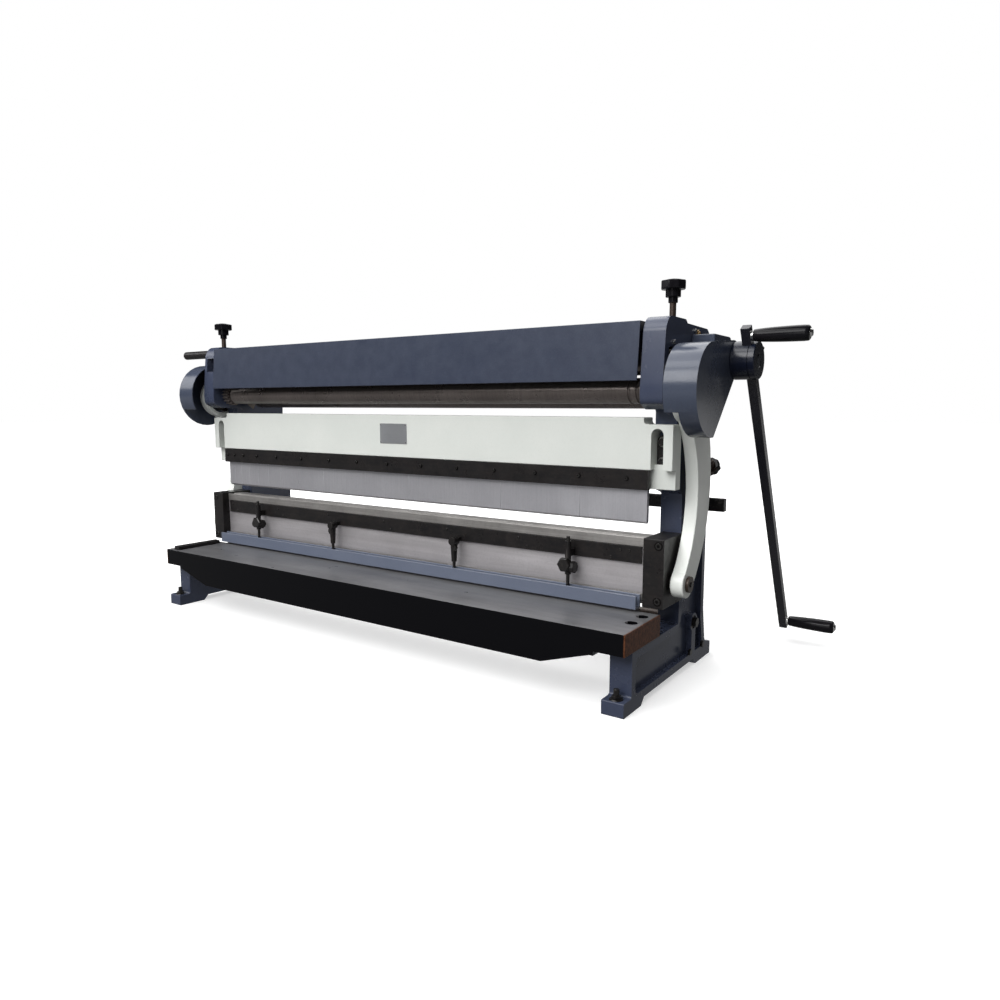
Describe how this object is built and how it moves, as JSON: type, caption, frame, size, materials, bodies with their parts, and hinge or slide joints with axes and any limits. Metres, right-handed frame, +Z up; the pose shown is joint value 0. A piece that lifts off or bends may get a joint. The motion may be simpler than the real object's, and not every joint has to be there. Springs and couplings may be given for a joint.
{
  "type": "combination sheet metal machine",
  "caption": "Bench machine that shears, bends and rolls sheet metal: cast end frames, a crank-driven ram, segmented fingers, rolls and covers.",
  "frame": {"origin": "middle of the bounding box's base, on the bench under the feet", "axes": "+X along the machine to the crank's side, +Y from the table side to the rear, +Z up"},
  "size_m": [1.7606, 0.682, 0.7964],
  "materials": {
    "left_frame": "gloss",
    "right_frame": "gloss",
    "work_table": "ground",
    "lower_blade": "ground",
    "squaring_fence": "black oxide",
    "upper_beam": "gloss",
    "clamp_bar": "black oxide",
    "finger_01": "ground",
    "finger_02": "ground",
    "finger_03": "ground",
    "finger_04": "ground",
    "finger_05": "ground",
    "finger_06": "ground",
    "finger_07": "ground",
    "finger_08": "ground",
    "finger_09": "ground",
    "finger_10": "ground",
    "finger_11": "ground",
    "finger_12": "ground",
    "top_cover": "gloss",
    "gear_cover_right": "gloss",
    "arm_cover_left": "gloss",
    "pinion_bracket": "gloss",
    "tie_rod": "turned",
    "release_bar": "black oxide",
    "ram": "ground",
    "bottom_die": "ground",
    "upper_blade": "ground",
    "ram_front_bar": "black oxide",
    "ram_end_left": "black oxide",
    "ram_end_right": "black oxide",
    "clamp_plunger_left": "black oxide",
    "clamp_plunger_right": "black oxide",
    "spring_plunger_left": "black oxide",
    "spring_plunger_right": "black oxide",
    "hold_down": "gloss",
    "link_arm_left": "gloss",
    "link_arm_right": "gloss",
    "lower_roll": "turned",
    "eccentric_left": "turned",
    "eccentric_right": "turned",
    "main_gear": "turned",
    "idler_gear": "turned",
    "pinion_shaft": "turned",
    "crank_hub": "gloss",
    "crank_bar": "satin",
    "upper_grip": "gloss",
    "lower_grip": "gloss",
    "upper_bearing_left": "turned",
    "upper_bearing_right": "turned",
    "upper_roll": "turned",
    "top_knob_left": "satin",
    "top_knob_right": "satin",
    "rear_bearing_left": "turned",
    "rear_bearing_right": "turned",
    "rear_roll": "turned",
    "rear_knob_left": "satin",
    "rear_knob_right": "satin",
    "rear_stop": "black oxide"
  },
  "bodies": {
    "frame_and_beam": {"left_frame": "left_frame", "right_frame": "right_frame", "work_table": "work_table", "lower_blade": "lower_blade", "squaring_fence": "squaring_fence", "upper_beam": "upper_beam", "clamp_bar": "clamp_bar", "finger_01": "finger_01", "finger_02": "finger_02", "finger_03": "finger_03", "finger_04": "finger_04", "finger_05": "finger_05", "finger_06": "finger_06", "finger_07": "finger_07", "finger_08": "finger_08", "finger_09": "finger_09", "finger_10": "finger_10", "finger_11": "finger_11", "finger_12": "finger_12", "top_cover": "top_cover", "gear_cover_right": "gear_cover_right", "arm_cover_left": "arm_cover_left", "pinion_bracket": "pinion_bracket", "tie_rod": "tie_rod", "release_bar": "release_bar"},
    "ram_body": {"ram": "ram", "bottom_die": "bottom_die", "upper_blade": "upper_blade", "ram_front_bar": "ram_front_bar", "ram_end_left": "ram_end_left", "ram_end_right": "ram_end_right", "clamp_plunger_left": "clamp_plunger_left", "clamp_plunger_right": "clamp_plunger_right", "spring_plunger_left": "spring_plunger_left", "spring_plunger_right": "spring_plunger_right"},
    "hold_down_body": {"hold_down": "hold_down"},
    "link_arm_left_body": {"link_arm_left": "link_arm_left"},
    "link_arm_right_body": {"link_arm_right": "link_arm_right"},
    "main_shaft_body": {"lower_roll": "lower_roll", "eccentric_left": "eccentric_left", "eccentric_right": "eccentric_right", "main_gear": "main_gear"},
    "idler_body": {"idler_gear": "idler_gear"},
    "crank_body": {"pinion_shaft": "pinion_shaft", "crank_hub": "crank_hub", "crank_bar": "crank_bar"},
    "upper_grip_body": {"upper_grip": "upper_grip"},
    "lower_grip_body": {"lower_grip": "lower_grip"},
    "upper_roll_lift_body": {"upper_bearing_left": "upper_bearing_left", "upper_bearing_right": "upper_bearing_right"},
    "upper_roll_body": {"upper_roll": "upper_roll"},
    "top_knob_left_body": {"top_knob_left": "top_knob_left"},
    "top_knob_right_body": {"top_knob_right": "top_knob_right"},
    "rear_roll_slide_body": {"rear_bearing_left": "rear_bearing_left", "rear_bearing_right": "rear_bearing_right"},
    "rear_roll_body": {"rear_roll": "rear_roll"},
    "rear_knob_left_body": {"rear_knob_left": "rear_knob_left"},
    "rear_knob_right_body": {"rear_knob_right": "rear_knob_right"},
    "rear_stop_body": {"rear_stop": "rear_stop"}
  },
  "joints": [
    {"name": "crank_turn", "type": "hinge", "parent": "frame_and_beam", "child": "crank_body", "pos_m": [-0.0503, -0.02949, 0.6465], "axis": [1, 0, 0], "range_deg": [-176, 176]},
    {"name": "ram_slide", "type": "slide", "parent": "frame_and_beam", "child": "ram_body", "axis": [0, 0, 1], "range_m": [-0.0186, 0.0186]},
    {"name": "hold_down_slide", "type": "slide", "parent": "frame_and_beam", "child": "hold_down_body", "axis": [0, 0, 1], "range_m": [-0.0047, 0.0047]},
    {"name": "main_shaft_turn", "type": "hinge", "parent": "frame_and_beam", "child": "main_shaft_body", "pos_m": [-0.0503, -0.15149, 0.588], "axis": [1, 0, 0], "range_deg": [-52.1, 52.1]},
    {"name": "idler_turn", "type": "hinge", "parent": "frame_and_beam", "child": "idler_body", "pos_m": [-0.0503, -0.07623, 0.63262], "axis": [1, 0, 0], "range_deg": [-88.1, 88.1]},
    {"name": "link_arm_left_swing", "type": "hinge", "parent": "ram_body", "child": "link_arm_left_body", "pos_m": [-0.7643, -0.13449, 0.213], "axis": [1, 0, 0], "range_deg": [-0.65, 0.65]},
    {"name": "link_arm_right_swing", "type": "hinge", "parent": "ram_body", "child": "link_arm_right_body", "pos_m": [0.6637, -0.13449, 0.213], "axis": [1, 0, 0], "range_deg": [-0.65, 0.65]},
    {"name": "upper_grip_spin", "type": "hinge", "parent": "crank_body", "child": "upper_grip_body", "pos_m": [-0.0503, -0.05581, 0.69135], "axis": [1, 0, 0], "continuous": true},
    {"name": "lower_grip_spin", "type": "hinge", "parent": "crank_body", "child": "lower_grip_body", "pos_m": [-0.0503, 0.32422, 0.0436], "axis": [1, 0, 0], "continuous": true},
    {"name": "upper_roll_lift", "type": "slide", "parent": "frame_and_beam", "child": "upper_roll_lift_body", "axis": [0, 0, 1], "range_m": [-0.0038, 0.0012]},
    {"name": "upper_roll_spin", "type": "hinge", "parent": "upper_roll_lift_body", "child": "upper_roll_body", "pos_m": [-0.0503, -0.15149, 0.6426], "axis": [1, 0, 0], "range_deg": [-52.1, 52.1]},
    {"name": "top_knob_left_turn", "type": "hinge", "parent": "frame_and_beam", "child": "top_knob_left_body", "pos_m": [-0.7433, -0.13349, 0.7964], "axis": [0, 0, 1], "range_deg": [-915, 290]},
    {"name": "top_knob_right_turn", "type": "hinge", "parent": "frame_and_beam", "child": "top_knob_right_body", "pos_m": [0.6427, -0.13349, 0.7964], "axis": [0, 0, 1], "range_deg": [-915, 290]},
    {"name": "rear_roll_shift", "type": "slide", "parent": "frame_and_beam", "child": "rear_roll_slide_body", "axis": [0, -0.8145, 0.5802], "range_m": [0, 0.025]},
    {"name": "rear_roll_spin", "type": "hinge", "parent": "rear_roll_slide_body", "child": "rear_roll_body", "pos_m": [-0.0503, -0.07149, 0.578], "axis": [1, 0, 0], "continuous": true},
    {"name": "rear_knob_left_turn", "type": "hinge", "parent": "frame_and_beam", "child": "rear_knob_left_body", "pos_m": [-0.7315, 0.15451, 0.417], "axis": [0, -0.8145, 0.5802], "range_deg": [0, 4510]},
    {"name": "rear_knob_right_turn", "type": "hinge", "parent": "frame_and_beam", "child": "rear_knob_right_body", "pos_m": [0.6309, 0.15451, 0.417], "axis": [0, -0.8145, 0.5802], "range_deg": [0, 4510]},
    {"name": "rear_stop_slide", "type": "slide", "parent": "frame_and_beam", "child": "rear_stop_body", "axis": [0, 1, 0], "range_m": [0, 0.03]}
  ],
  "couplings": [
    {"joint": "ram_slide", "follows": "crank_turn", "m_per_rad": 0.0060226},
    {"joint": "hold_down_slide", "follows": "crank_turn", "m_per_rad": 0.0015056},
    {"joint": "main_shaft_turn", "follows": "crank_turn", "ratio": 0.29545},
    {"joint": "idler_turn", "follows": "crank_turn", "ratio": -0.5},
    {"joint": "upper_roll_spin", "follows": "crank_turn", "ratio": -0.29545},
    {"joint": "link_arm_left_swing", "follows": "crank_turn", "ratio": -0.0035172},
    {"joint": "link_arm_right_swing", "follows": "crank_turn", "ratio": -0.0035172},
    {"joint": "top_knob_left_turn", "follows": "upper_roll_lift", "rad_per_m": 4188.8},
    {"joint": "top_knob_right_turn", "follows": "upper_roll_lift", "rad_per_m": 4188.8},
    {"joint": "rear_knob_left_turn", "follows": "rear_roll_shift", "rad_per_m": 3141.6},
    {"joint": "rear_knob_right_turn", "follows": "rear_roll_shift", "rad_per_m": 3141.6}
  ]
}
